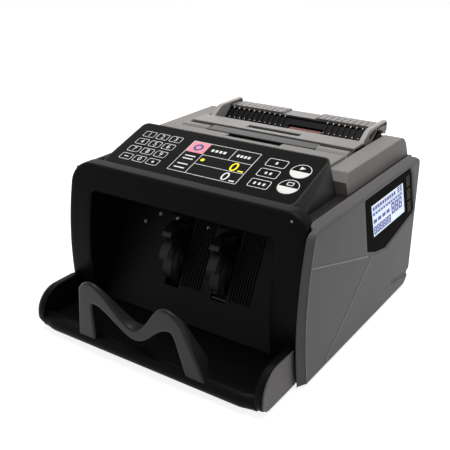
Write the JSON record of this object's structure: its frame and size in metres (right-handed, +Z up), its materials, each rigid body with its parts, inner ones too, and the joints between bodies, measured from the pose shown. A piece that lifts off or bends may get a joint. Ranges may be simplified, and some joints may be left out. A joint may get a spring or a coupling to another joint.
{
  "type": "banknote counter",
  "caption": "Desktop banknote counter: sloped key panel with display, top hopper with side guides, roller feed, stacker wheels and a front tray with a two-humped note stop.",
  "frame": {"origin": "on the floor under the rubber feet, at the centre of the machine's bounding box", "axes": "+X to the right as the user sees it, -Y towards the user and the tray, +Z up"},
  "size_m": [0.2396, 0.2848, 0.1591],
  "materials": {
    "black_plastic": "satin",
    "dark_grey_plastic": "satin",
    "grey_plastic": "fine texture",
    "pale_grey_plastic": "satin",
    "overlay_film": "gloss film",
    "display_window": "gloss",
    "lcd_window": "gloss",
    "key_plastic": "satin",
    "rocker_plastic": "semi-gloss",
    "sheet_steel": "zinc plated",
    "shaft_steel": "ground",
    "bearing_bronze": "sintered",
    "roller_rubber": "matt",
    "black_rubber": "matt",
    "circuit_board": "lacquered",
    "motor_steel": "satin",
    "supply_case": "bare"
  },
  "bodies": {
    "machine": {"front_fascia": "black_plastic", "stacker_pocket": "black_plastic", "stacker_tray": "black_plastic", "hopper_bed": "black_plastic", "side_display_bezel": "black_plastic", "stacker_back_plate": "black_plastic", "power_inlet": "black_plastic", "switch_frame": "black_plastic", "data_port": "black_plastic", "note_stop": "dark_grey_plastic", "console_housing": "dark_grey_plastic", "base_pan": "dark_grey_plastic", "rear_cover": "dark_grey_plastic", "left_side_cover": "grey_plastic", "right_side_cover": "grey_plastic", "top_housing": "grey_plastic", "left_tray_cheek": "grey_plastic", "right_tray_cheek": "grey_plastic", "hopper_front_plate": "pale_grey_plastic", "hopper_rear_land": "pale_grey_plastic", "panel_overlay": "overlay_film", "main_display": "display_window", "side_display_glass": "lcd_window", "left_frame_plate": "sheet_steel", "right_frame_plate": "sheet_steel", "tie_rods": "sheet_steel", "rear_screws": "shaft_steel", "bearings": "bearing_bronze", "rubber_feet": "black_rubber", "retard_roller": "black_rubber", "feed_belt": "black_rubber", "pickup_belt": "black_rubber", "transport_belt": "black_rubber", "stacker_belt": "black_rubber", "console_board": "circuit_board", "side_key_board": "circuit_board", "main_board": "circuit_board", "main_motor": "motor_steel", "power_supply": "supply_case"},
    "feed": {"feed_shaft": "shaft_steel", "feed_rollers": "roller_rubber"},
    "pickup": {"pickup_shaft": "shaft_steel", "pickup_roller": "roller_rubber"},
    "transport": {"transport_shaft": "shaft_steel", "transport_rollers": "roller_rubber"},
    "idler": {"idler_shaft": "shaft_steel"},
    "stacker": {"stacker_shaft": "shaft_steel", "left_stacker_wheel": "black_plastic", "right_stacker_wheel": "black_plastic"},
    "motor_rotor": {"motor_pulley": "shaft_steel"},
    "cover": {"feed_cover": "pale_grey_plastic", "feed_cover_grip": "dark_grey_plastic"},
    "left_guide": {"left_hopper_guide": "grey_plastic"},
    "right_guide": {"right_hopper_guide": "grey_plastic"},
    "rocker": {"power_rocker": "rocker_plastic"},
    "knob": {"gap_knob": "black_plastic"},
    "key_1": {"side_key_1": "key_plastic"},
    "key_2": {"side_key_2": "key_plastic"},
    "key_3": {"side_key_3": "key_plastic"}
  },
  "joints": [
    {"name": "feed_spin", "type": "hinge", "parent": "machine", "child": "feed", "pos_m": [-0.00225, 0.08869, 0.10358], "axis": [1, 0, 0], "continuous": true},
    {"name": "pickup_spin", "type": "hinge", "parent": "machine", "child": "pickup", "pos_m": [-0.00225, 0.1127, 0.1268], "axis": [1, 0, 0], "continuous": true},
    {"name": "transport_spin", "type": "hinge", "parent": "machine", "child": "transport", "pos_m": [-0.00225, 0.03508, 0.08176], "axis": [1, 0, 0], "continuous": true},
    {"name": "idler_spin", "type": "hinge", "parent": "machine", "child": "idler", "pos_m": [-0.00225, 0.0263, 0.1015], "axis": [1, 0, 0], "continuous": true},
    {"name": "stacker_spin", "type": "hinge", "parent": "machine", "child": "stacker", "pos_m": [-0.00225, -0.02601, 0.067], "axis": [1, 0, 0], "continuous": true},
    {"name": "motor_spin", "type": "hinge", "parent": "machine", "child": "motor_rotor", "pos_m": [-0.00225, 0.09169, 0.045], "axis": [1, 0, 0], "continuous": true},
    {"name": "feed_cover_turn", "type": "hinge", "parent": "machine", "child": "cover", "pos_m": [-0.00225, 0.05208, 0.1425], "axis": [-1, 0, 0], "range_deg": [0, 60]},
    {"name": "left_guide_slide", "type": "slide", "parent": "machine", "child": "left_guide", "axis": [1, 0, 0], "range_m": [0, 0.012]},
    {"name": "right_guide_slide", "type": "slide", "parent": "machine", "child": "right_guide", "axis": [-1, 0, 0], "range_m": [0, 0.012]},
    {"name": "power_rocker_tilt", "type": "hinge", "parent": "machine", "child": "rocker", "pos_m": [-0.04625, 0.12899, 0.033], "axis": [1, 0, 0], "range_deg": [-18, 0]},
    {"name": "gap_knob_turn", "type": "hinge", "parent": "machine", "child": "knob", "pos_m": [-0.00225, 0.13299, 0.101], "axis": [0, 1, 0], "range_deg": [-150, 150]},
    {"name": "side_key_1_press", "type": "slide", "parent": "machine", "child": "key_1", "axis": [-1, 0, 0], "range_m": [0, 0.0008], "stiffness_N_per_m": 900},
    {"name": "side_key_2_press", "type": "slide", "parent": "machine", "child": "key_2", "axis": [-1, 0, 0], "range_m": [0, 0.0008], "stiffness_N_per_m": 900},
    {"name": "side_key_3_press", "type": "slide", "parent": "machine", "child": "key_3", "axis": [-1, 0, 0], "range_m": [0, 0.0008], "stiffness_N_per_m": 900}
  ],
  "couplings": [
    {"joint": "pickup_spin", "follows": "feed_spin", "ratio": 1},
    {"joint": "transport_spin", "follows": "feed_spin", "ratio": 1},
    {"joint": "idler_spin", "follows": "feed_spin", "ratio": -1.3333},
    {"joint": "stacker_spin", "follows": "feed_spin", "ratio": 0.33333},
    {"joint": "motor_spin", "follows": "feed_spin", "ratio": 2}
  ]
}
